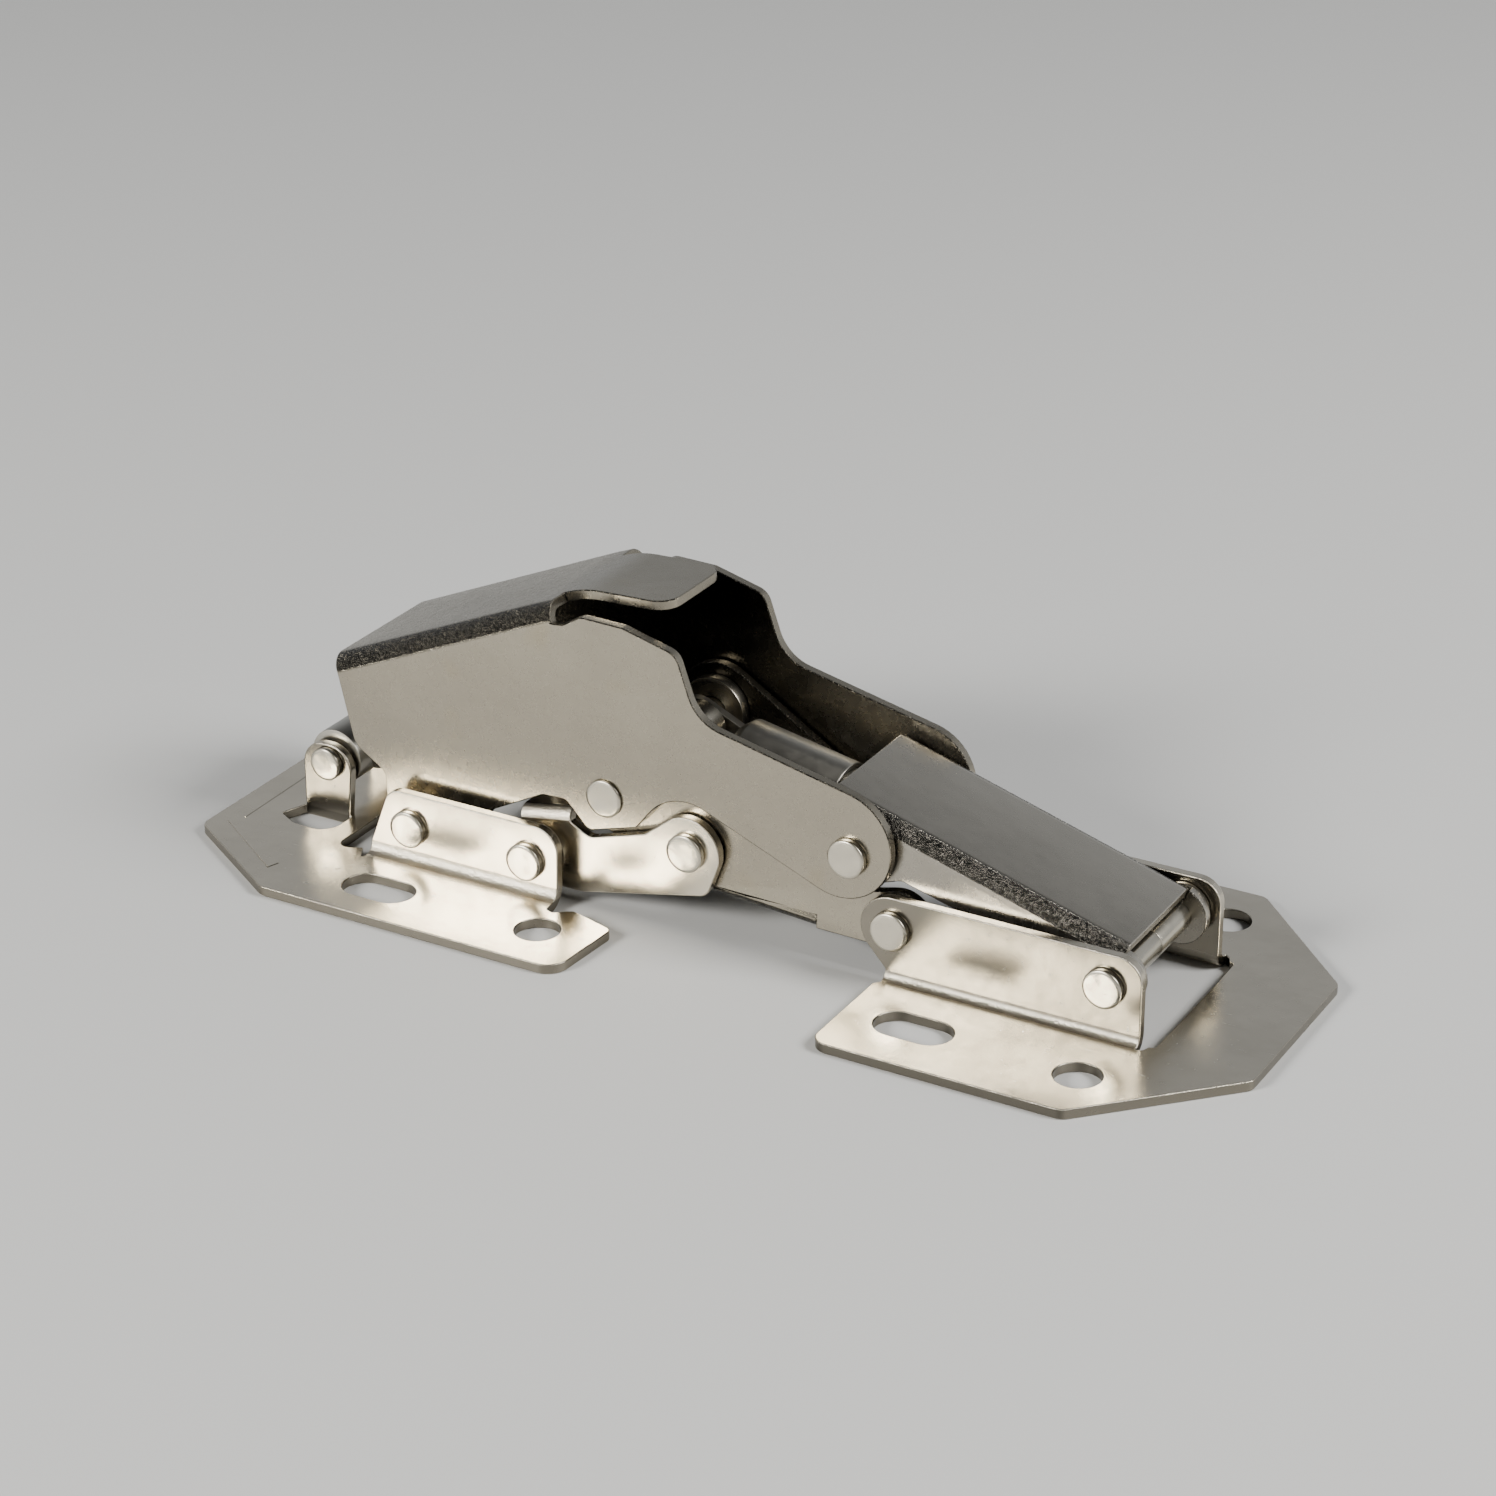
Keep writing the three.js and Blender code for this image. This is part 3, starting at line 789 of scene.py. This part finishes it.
def place_skin(name, skin, facing, material):
    thicken(add_object(f"{name}_visual", skin.mesh(name, facing), material, name, [name]))


def place_detail(name, data, material, body):
    """A piece that belongs to a pressed part's node besides the skin."""
    return add_object(name, data, material, body, [body])


place_skin("left_plate", left_plate(), plate_facing, PLATE_NICKEL)
place_skin("right_plate", right_plate(), plate_facing, PLATE_NICKEL_SHADED)
# The small ears take the plate material with painted shade on faces turned sideways.
ears = place_detail("left_plate_small_ears", small_ears(), PLATE_NICKEL_SHADED, "left_plate")
edge_bevel(ears, 0.2)
place_detail("left_plate_die_marks", die_marks(), PLATE_NICKEL, "left_plate")


# ---- arms and links ----
TONGUE_TIP = -6.3
TONGUE_CORNER = 2.2
TONGUE_HALF = 5.15
TOP_LINE = [(11.9, 17.7), (41.3, 8.95)]  # outer face of the top link's web


def tongue_width(x):
    """Half-width of the hood's tongue, whose two corners are rounded."""
    corner_start = TONGUE_TIP - TONGUE_CORNER
    if x <= corner_start:
        return TONGUE_HALF
    u = min(1.0, (x - corner_start) / TONGUE_CORNER)
    return TONGUE_HALF - TONGUE_CORNER + TONGUE_CORNER * math.sqrt(max(0.0, 1 - u * u))


def height_on(start, end, x):
    (ax, az), (bx, bz) = start, end
    return az + (bz - az) * (x - ax) / (bx - ax)


def hood_line(slot_x):
    """Outer line of the hood's web, split at the relief slots and finely round the tongue's corners."""
    line = rounded_line([(-42.4, 19.4), (-18.6, 29.7), (-15.2, 30.9), (TONGUE_TIP, 31.2)], 2.5)
    cut = []
    for here, after in zip(line, line[1:]):
        cut.append(here)
        if here[0] < slot_x < after[0]:
            cut.append((slot_x, height_on(here, after, slot_x)))
    straight, tip = cut[-1], line[-1]
    corner_steps = 8
    for k in range(1, corner_steps + 1):
        x = TONGUE_TIP - TONGUE_CORNER + TONGUE_CORNER * math.sin(math.pi / 2 * k / corner_steps)
        if x > straight[0]:
            cut.append((x, height_on(straight, tip, x)))
    return cut


def cover_arm():
    bend = 1.9
    slot_x = -17.6
    line = hood_line(slot_x)

    def wall(top):
        right_end = top[-1]
        return outline(
            [
                (*ARM_PIVOT, 4.2),
                (-24.2, 7.4, 0),
                (-18.2, 9.4, -1.0),
                (-16.3, 9.5, -1.0),
                (-13.1, 9.0, 1.0),
                (-8.6, 10.1, 0.8),
                (*ELBOW_PIVOT, -5.0),
                (13.3, 13.0, 5.4),
                (1.9, 25.6, -4.4),
                (-4.9, 26.6, 1.7),
                (-9.4, 28.3, 1.2),
                (-13.4, 28.4, 1.2),
                (right_end[0] + 1.2, right_end[1] + 0.15, 0),
                *[(x, z, 0) for x, z in reversed(top)],
                (-38.0, 12.1, 2.3),
                (-37.6, 7.9, -1.0),
            ]
        )

    return channel_skin(line, wall, ARM_Y, bend, 1, [TONGUE_HALF, 0.0], (slot_x, tongue_width))


def inner_arm():
    bend = 1.25
    line = [(-1.4, 3.7), (10.3, 2.9)]

    def wall(bottom):
        return outline(
            [
                (*CROSS_PIVOT, 3.8),
                (*ELBOW_PIVOT, 4.5),
                *[(x, z, 0) for x, z in bottom],
                (10.35, 3.05, 0),
                (*PLATE_PIVOT, 3.05),
                (*TOP_PIVOT, -3.9),
                (*CENTRE_PIN, 4.5),
            ]
        )

    return channel_skin(line, wall, INNER_Y, bend, -1, [0.0])


def top_link():
    bend = 1.6

    def wall(top):
        return outline(
            [
                (*TOP_PIVOT, 3.3),
                (19.2, 8.6, -1.5),
                (25.1, 8.5, 0),
                (*END_PIVOT, 2.95),
                *[(x, z, 0) for x, z in reversed(top)],
            ]
        )

    return channel_skin(TOP_LINE, wall, INNER_Y, bend, 1, [0.0])


def spring_lugs():
    """The two lugs lanced down from the top link's web, as solid slabs."""
    x, z = SPRING_PIN
    x0, x1 = x - 2.2, x + 2.8
    sunk = 0.7  # the lugs' roots lie inside the web
    roots = [(at, height_on(*TOP_LINE, at) - sunk, 0) for at in (x1, x0)]
    lug = outline([(x, z, 1.7), *roots])
    inner = LUG_Y - SHEET
    return slab_mesh("spring_lugs", [(lug, inner, LUG_Y), (lug, -LUG_Y, -inner)])


def short_link():
    bend = 1.3
    line = [(-21.2, 8.5), (-15.6, 9.5)]

    def wall(top):
        return outline(
            [
                (*LINK_PIVOT, 3.2),
                (-14.4, 2.0, 0.9),
                (ELBOW_PIVOT[0] + 1.0, 5.3, 1.4),
                (*ELBOW_PIVOT, 3.4),
                (-7.9, 10.2, -1.4),
                (-13.2, 8.2, -1.0),
                *[(x, z, 0) for x, z in reversed(top)],
            ]
        )

    return channel_skin(line, wall, ARM_Y, bend, 1, [0.0])


place_skin("cover_arm", cover_arm(), outwards(ARM_Y - SHEET, 1), NICKEL)
place_skin("inner_arm", inner_arm(), outwards(INNER_Y - SHEET, -1), NICKEL)
place_skin("top_link", top_link(), outwards(INNER_Y - SHEET, 1), NICKEL_TOP)
edge_bevel(place_detail("top_link_lugs", spring_lugs(), NICKEL_TOP, "top_link"), 0.1)
place_skin("short_link", short_link(), outwards(ARM_Y - SHEET, 1), PLATE_NICKEL)


# ---- pins, rivets, washers ----
def head_profile(face_y, r, height, start):
    """From the axis at start, out along the shaft, over a formed head and back to the axis."""
    under, chamfer, crown = 0.04, 0.14, 0.3
    top = face_y + height
    return [
        (0.0, start),
        (SHAFT_R, start),
        (SHAFT_R, face_y - 0.05),
        (SHAFT_R, face_y + under),
        (r - 0.08, face_y + under),
        (r, face_y + chamfer),
        (r, top - chamfer),
        (r - 0.1, top - 0.04),
        (r - crown, top),
        (r * 0.5, top),
        (0.0, top - 0.02),
    ]


def dent(obj, seed):
    """Small hammer marks on a formed head."""
    depth = 0.035 * MM
    heads_start = 5.8 * MM
    marks_per_metre = 900
    rng = random.Random(seed)
    offset = Vector((rng.uniform(0, 50), rng.uniform(0, 50), rng.uniform(0, 50)))
    for v in obj.data.vertices:
        if abs(v.co.y) > heads_start:
            v.co.y += noise.noise(v.co * marks_per_metre + offset) * depth


def formed(name, parts, body, seed):
    """A pin or rivet whose heads were hammered over."""
    dent(add_object(f"{name}_visual", turned_mesh(name, parts), BRIGHT, body, [name]), seed)


def formed_part(pivot, side, face_y, r, height, start):
    profile = softened(head_profile(face_y, r, height, start), 0.05, 2)
    return (profile, across(pivot, side), 48)


def pin(name, pivot, face_y, body, seed, r=HEAD_R):
    formed(name, [formed_part(pivot, side, face_y, r, HEAD_H, 0.0) for side in (-1, 1)], body, seed)


def rivet(name, pivot, face_y, inner_y, side, body, seed, height=HEAD_H):
    formed(name, [formed_part(pivot, side, face_y, HEAD_R, height, inner_y)], body, seed)


def ring_profile(inner, outer, low, high):
    return softened([(inner, low), (outer, low), (outer, high), (inner, high)], 0.1, 2, closed=True)


def washer(name, pivot, r, low, high, side, body):
    ring = ring_profile(SHAFT_R + SHAFT_FIT, r, low, high)
    data = turned_mesh(name, [(ring, across(pivot, side), 56)])
    add_object(f"{name}_visual", data, BRIGHT, body, [name])


def plain_pin(name, pivot, r, half, body):
    profile = softened([(0.0, -half), (r, -half), (r, half), (0.0, half)], 0.08, 3)
    data = turned_mesh(name, [(profile, across(pivot, 1), 32)])
    add_object(f"{name}_visual", data, BRIGHT, body, [name])


pin("damper_pin", DAMPER_PIVOT, DAMPER_EAR_Y, "left_plate", seed=3, r=DAMPER_HEAD_R)
pin("arm_pin", ARM_PIVOT, LEFT_EAR_Y, "left_plate", seed=4)
pin("link_pin", LINK_PIVOT, LEFT_EAR_Y, "left_plate", seed=5)
pin("end_pin", END_PIVOT, RIGHT_EAR_Y, "top_link", seed=7)

for index, (suffix, side) in enumerate((("near", -1), ("far", 1))):
    arm_inner = ARM_Y - SHEET
    wall_inner = INNER_Y - SHEET
    ear_inner = RIGHT_EAR_Y - SHEET
    deep = wall_inner - 0.2  # these shafts go through both walls
    rivet(f"elbow_rivet_{suffix}", ELBOW_PIVOT, ARM_Y, arm_inner, side, "short_link", 11 + index)
    rivet(f"cross_rivet_{suffix}", CROSS_PIVOT, ARM_Y, deep, side, "cover_arm", 41 + index, LOW_HEAD_H)
    rivet(f"top_rivet_{suffix}", TOP_PIVOT, ARM_Y, deep, side, "cover_arm", 21 + index)
    rivet(f"plate_rivet_{suffix}", PLATE_PIVOT, RIGHT_EAR_Y, ear_inner, side, "right_plate", 31 + index)
    left_gap = (ARM_Y + WASHER_GAP, LEFT_EAR_Y - SHEET - WASHER_GAP)
    right_gap = (INNER_Y + WASHER_GAP, ear_inner - WASHER_GAP)
    spacer = (wall_inner - 1.3, wall_inner - WASHER_GAP)
    washer(f"arm_washer_{suffix}", ARM_PIVOT, WASHER_R, *left_gap, side, "left_plate")
    washer(f"link_washer_{suffix}", LINK_PIVOT, WASHER_R, *left_gap, side, "left_plate")
    washer(f"end_washer_{suffix}", END_PIVOT, WASHER_R, *right_gap, side, "top_link")
    washer(f"centre_spacer_{suffix}", CENTRE_PIN, CENTRE_SPACER_R, *spacer, side, "inner_arm")

plain_pin("centre_pin", CENTRE_PIN, SHAFT_R, INNER_Y + PIN_PROUD, "inner_arm")
plain_pin("spring_pin", SPRING_PIN, SPRING_SHAFT_R, LUG_Y + PIN_PROUD, "top_link")


# ---- damper ----
DAMPER_LENGTH = math.dist(DAMPER_PIVOT, CENTRE_PIN)
DAMPER_R = 2.9
DAMPER_BORE_R = 2.3
DAMPER_END = 22.0
ROD_R = 1.3
TANG_R = 2.6
TANG_HALF = 1.6
SLOT_TRAVEL_HALF = 1.0  # half the travel of the centre pin in the rod's slot
damper_axis = aimed(DAMPER_PIVOT, CENTRE_PIN)


def damper_tube():
    start, floor = 1.6, 5.5
    tube = softened(
        [
            (0.0, start),
            (DAMPER_R, start),
            (DAMPER_R, DAMPER_END),
            (DAMPER_BORE_R, DAMPER_END),
            (DAMPER_BORE_R, floor),
            (0.0, floor),
        ],
        0.2,
    )
    eye_half = 4.6
    eye = ring_profile(SHAFT_R + SHAFT_FIT, DAMPER_R, -eye_half, eye_half)
    return turned_mesh("damper_tube", [(tube, damper_axis, 48), (eye, across(DAMPER_PIVOT, 1), 48)])


def damper_gland():
    bore = ROD_R + SHAFT_FIT
    low, high = DAMPER_END + 0.05, DAMPER_END + 1.6
    ring = [(bore, low), (DAMPER_R, low), (DAMPER_R, high - 0.4), (DAMPER_R - 0.4, high), (bore, high)]
    return turned_mesh("damper_gland", [(softened(ring, 0.12, closed=True), damper_axis, 48)])


def damper_piston():
    r, low, high = DAMPER_BORE_R - 0.1, 17.0, 20.0
    disc = softened([(0.0, low), (r, low), (r, high), (0.0, high)], 0.15)
    return turned_mesh("damper_piston", [(disc, damper_axis, 40)])


def damper_rod():
    """The rod ends in a flat tang with a slot, so the centre pin has some lost motion along the rod."""
    low, high = 20.05, DAMPER_LENGTH - SLOT_TRAVEL_HALF - 1.9
    rod = softened([(0.0, low), (ROD_R, low), (ROD_R, high), (0.0, high)])
    reach = (DAMPER_LENGTH - SLOT_TRAVEL_HALF, DAMPER_LENGTH + SLOT_TRAVEL_HALF)
    ends = [point_along(DAMPER_PIVOT, CENTRE_PIN, d) for d in reach]
    ring = outline([(*p, TANG_R) for p in ends])
    slot = outline([(*p, SHAFT_R + 0.15) for p in ends])
    tang = ring_slab("tang", ring, slot, -TANG_HALF, TANG_HALF)
    return joined("damper_rod", [turned_mesh("rod", [(rod, damper_axis, 40)]), tang])


add_object("damper_tube_visual", damper_tube(), TUBE, "damper_tube", ["damper_tube"])
add_object("damper_gland_visual", damper_gland(), BRIGHT, "damper_tube", ["damper_gland"])
add_object("damper_piston_visual", damper_piston(), BRIGHT, "damper_rod", ["damper_piston"])
rod = add_object("damper_rod_visual", damper_rod(), BRIGHT, "damper_rod", ["damper_rod"])
edge_bevel(rod, 0.06)


# ---- spring cartridge ----
CARTRIDGE_LENGTH = math.dist(CENTRE_PIN, SPRING_PIN)
OUTER_R = 3.9
INNER_R = 3.35
SLEEVE_WALL = 0.5
SLEEVE_START = 5.7
SLEEVE_END = 17.4
SPRING_SEAT = 6.3
INNER_START = 16.3
CAP_START = CARTRIDGE_LENGTH - 5.0
CAP_END = CARTRIDGE_LENGTH - 3.5
EYE_R = 2.4
EYE_BORE_R = 1.75
EYE_HALF = 1.6
CHEEK_Y = (2.0, 2.9)
SLEEVE_BEVEL = 0.05
cartridge_axis = aimed(CENTRE_PIN, SPRING_PIN)


def spring_outer_sleeve():
    bore = INNER_R + 0.05
    sleeve = softened(
        [
            (0.0, SLEEVE_START),
            (OUTER_R - 0.9, SLEEVE_START),
            (OUTER_R, SLEEVE_START + 0.9),
            (OUTER_R, SLEEVE_END),
            (bore, SLEEVE_END),
            (bore, SPRING_SEAT),
            (0.0, SPRING_SEAT),
        ],
        0.18,
    )
    root = point_along(CENTRE_PIN, SPRING_PIN, SPRING_SEAT - 1.7)
    cheek = outline([(*CENTRE_PIN, 2.6), (*root, 1.5)])
    low, high = CHEEK_Y
    cheeks = slab_mesh("cheeks", [(cheek, low, high), (cheek, -high, -low)])
    return joined("spring_outer_sleeve", [turned_mesh("sleeve", [(sleeve, cartridge_axis, 64)]), cheeks])


def spring_inner_sleeve():
    bore = INNER_R - SLEEVE_WALL
    sleeve = softened(
        [
            (bore, INNER_START),
            (INNER_R, INNER_START),
            (INNER_R, CAP_END - 0.6),
            (INNER_R - 0.6, CAP_END),
            (0.0, CAP_END),
            (0.0, CAP_START),
            (bore, CAP_START),
        ],
        0.1,
        closed=True,
    )
    eye = ring_slab("eye", circle(*SPRING_PIN, EYE_R), circle(*SPRING_PIN, EYE_BORE_R), -EYE_HALF, EYE_HALF)
    neck_start = point_along(CENTRE_PIN, SPRING_PIN, CAP_END - 0.4)
    neck_end = point_along(CENTRE_PIN, SPRING_PIN, CARTRIDGE_LENGTH - 2.15)
    neck_half = EYE_HALF - 0.05
    neck = slab_mesh("neck", [(outline([(*neck_start, 1.6), (*neck_end, 0.35)]), -neck_half, neck_half)])
    return joined("spring_inner_sleeve", [turned_mesh("sleeve", [(sleeve, cartridge_axis, 64)]), eye, neck])


def cartridge_spring():
    start = point_along(CENTRE_PIN, SPRING_PIN, SPRING_SEAT + 0.7)
    end = point_along(CENTRE_PIN, SPRING_PIN, CARTRIDGE_LENGTH - 5.8)
    return coil_mesh("cartridge_spring", start, end, radius=2.3, wire=0.4, turns=9)


def coil_mesh(name, start, end, radius, wire, turns):
    per_turn, around = 36, 10
    bm = bmesh.new()
    place = aimed(start, end)
    length = math.dist(start, end)
    count = turns * per_turn
    rings = []
    for i in range(count + 1):
        t = i / count
        a = 2 * math.pi * turns * t
        centre = Vector((radius * math.cos(a), radius * math.sin(a), length * t))
        outward = Vector((math.cos(a), math.sin(a), 0))
        ring = []
        for k in range(around):
            b = 2 * math.pi * k / around
            p = centre + outward * wire * math.cos(b) + Vector((0, 0, wire * math.sin(b)))
            ring.append(bm.verts.new((place @ p) * MM))
        rings.append(ring)
    for low, high in zip(rings, rings[1:]):
        for k in range(around):
            n = (k + 1) % around
            bm.faces.new([low[k], low[n], high[n], high[k]])
    bm.faces.new(rings[0])
    bm.faces.new(list(reversed(rings[-1])))
    return smooth_data_of(bm, name)


def place_sleeve(name, data, body):
    edge_bevel(add_object(f"{name}_visual", data, TUBE, body, [name]), SLEEVE_BEVEL)


place_sleeve("spring_outer_sleeve", spring_outer_sleeve(), "spring_sleeve")
place_sleeve("spring_inner_sleeve", spring_inner_sleeve(), "spring_plunger")
coil = cartridge_spring()
add_object("cartridge_spring_visual", coil, SPRING, "spring_sleeve", ["cartridge_spring"])


# ---- floor, light, camera ----
def studio():
    just_below = -0.05 * MM
    bpy.ops.mesh.primitive_plane_add(size=4.0, location=(0, 0, just_below))
    floor = bpy.context.object
    floor.name = "floor"
    mat = bpy.data.materials.new("floor")
    mat.use_nodes = True
    bsdf = mat.node_tree.nodes["Principled BSDF"]
    bsdf.inputs["Base Color"].default_value = (0.60, 0.60, 0.59, 1)
    bsdf.inputs["Roughness"].default_value = 0.55
    floor.data.materials.append(mat)

    world = bpy.data.worlds.new("studio")
    bpy.context.scene.world = world
    world.use_nodes = True
    nt = world.node_tree
    back = nt.nodes["Background"]
    coord = nt.nodes.new("ShaderNodeTexCoord")
    split = nt.nodes.new("ShaderNodeSeparateXYZ")
    ramp = nt.nodes.new("ShaderNodeValToRGB")
    nt.links.new(coord.outputs["Generated"], split.inputs[0])
    nt.links.new(split.outputs["Z"], ramp.inputs[0])
    nt.links.new(ramp.outputs[0], back.inputs["Color"])
    # (sine of the elevation, brightness): bright near the horizon, dark overhead
    stops = [(0.0, 0.60), (0.2, 0.56), (0.43, 0.52), (0.64, 0.32), (0.8, 0.07), (1.0, 0.03)]
    elements = ramp.color_ramp.elements
    elements[0].position, elements[1].position = stops[0][0], stops[-1][0]
    for position, _ in stops[1:-1]:
        elements.new(position)
    for element, (_, value) in zip(elements, stops):
        element.color = (value * 0.96, value, value * 1.06, 1)
    # dimmer on the side of the camera
    front = nt.nodes.new("ShaderNodeMapRange")
    front.inputs["From Min"].default_value = -0.5
    front.inputs["From Max"].default_value = 0.4
    front.inputs["To Min"].default_value = 0.15
    front.inputs["To Max"].default_value = 1.0
    nt.links.new(split.outputs["Y"], front.inputs["Value"])
    nt.links.new(front.outputs["Result"], back.inputs["Strength"])

    def area(name, place, size, power, colour):
        """A rectangular lamp aimed at the origin."""
        light = bpy.data.lights.new(name, "AREA")
        light.shape = "RECTANGLE"
        light.size, light.size_y = size
        light.energy = power
        light.color = colour
        obj = bpy.data.objects.new(name, light)
        bpy.context.scene.collection.objects.link(obj)
        obj.location = place
        obj.rotation_euler = (-Vector(place)).to_track_quat("-Z", "Y").to_euler()

    area("window", (-0.42, -0.74, 0.44), (0.30, 0.26), 12.0, (1.0, 0.985, 0.95))
    area("right lamp", (0.62, 0.10, 0.50), (0.30, 0.30), 8.0, (1.0, 0.99, 0.97))


def camera():
    data = bpy.data.cameras.new("camera")
    data.sensor_width = 36.0
    data.lens = 89.956
    data.clip_start = 0.01
    data.clip_end = 20
    cam = bpy.data.objects.new("camera", data)
    bpy.context.scene.collection.objects.link(cam)
    right = Vector((0.8673236, 0.4977219, -0.0047723))
    down = Vector((0.2097517, -0.3741720, -0.9033269))
    ahead = Vector((-0.4513912, 0.7824757, -0.4289263))
    rot = Matrix((right, -down, -ahead)).transposed()
    cam.rotation_mode = "QUATERNION"
    cam.rotation_quaternion = rot.to_quaternion()
    cam.location = Vector((156.759, -273.437, 165.653)) * MM
    bpy.context.scene.camera = cam


studio()
camera()
